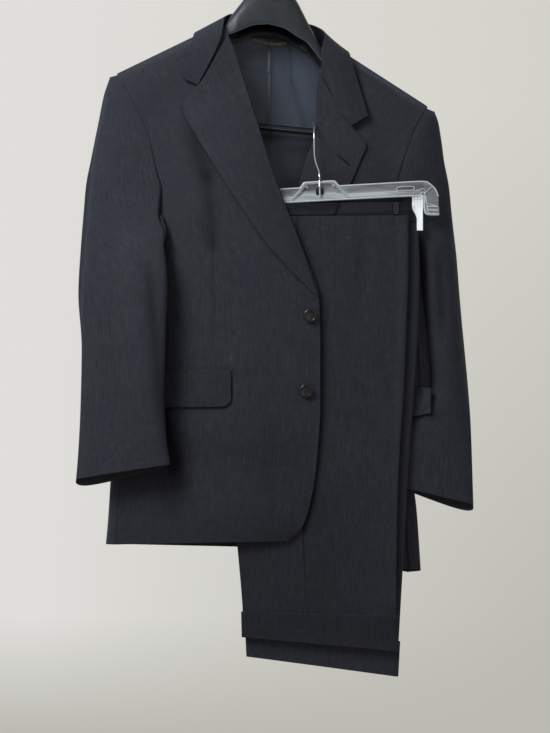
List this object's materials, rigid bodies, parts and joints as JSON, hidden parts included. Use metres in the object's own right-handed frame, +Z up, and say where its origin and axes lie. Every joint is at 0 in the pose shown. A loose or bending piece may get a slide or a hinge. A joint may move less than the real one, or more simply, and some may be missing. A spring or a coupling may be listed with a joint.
{
  "type": "two-piece suit on hangers",
  "caption": "Charcoal suit: an open notch-lapel jacket on a wide black hanger, with its folded, cuffed trousers hung from the hanger's bar by a clear clip hanger.",
  "frame": {"origin": "the underside of the black hanger's hook at its top, where it rests on its rail", "axes": "+X to the right as the open front of the suit is faced, +Y away from the viewer to the suit's back, +Z up along the hang"},
  "size_m": [0.5867, 0.1282, 1.0907],
  "materials": {
    "wool": "matte charcoal worsted with a fine nailhead weave",
    "lining": "slate satin with a soft sheen",
    "label": "plain woven gold-brown strip",
    "black_plastic": "semi-gloss moulded black",
    "clear_plastic": "clear moulded plastic",
    "white_plastic": "white moulded plastic",
    "dark_button": "polished dark button",
    "steel": "bright plated wire"
  },
  "bodies": {
    "root": {"back_left": "wool", "back_lining": "lining", "back_right": "wool", "belt_loop_left": "wool", "belt_loop_right": "wool", "clip_hanger_body": "clear_plastic", "clip_hanger_hook": "steel", "clip_left_back": "white_plastic", "clip_left_front": "white_plastic", "clip_right_back": "white_plastic", "clip_right_front": "white_plastic", "collar": "wool", "collar_stand": "wool", "front_button_lower": "dark_button", "front_button_upper": "dark_button", "front_left": "wool", "front_right": "wool", "hanger_bar": "black_plastic", "hanger_body": "black_plastic", "hanger_hook": "steel", "lapel_left": "wool", "lapel_right": "wool", "leg_back_far": "wool", "leg_back_near": "wool", "leg_front_far": "wool", "leg_front_near": "wool", "neck_label": "label", "pocket_flap_left": "wool", "pocket_flap_right": "wool", "side_left": "wool", "side_right": "wool", "sleeve_button_left_1": "dark_button", "sleeve_button_left_2": "dark_button", "sleeve_button_left_3": "dark_button", "sleeve_button_right_1": "dark_button", "sleeve_button_right_2": "dark_button", "sleeve_button_right_3": "dark_button", "top_sleeve_left": "wool", "top_sleeve_right": "wool", "turn_up_far": "wool", "turn_up_near": "wool", "under_sleeve_left": "wool", "under_sleeve_right": "wool", "waistband_far": "wool", "waistband_near": "wool", "waistband_tab": "wool"}
  },
  "joints": []
}
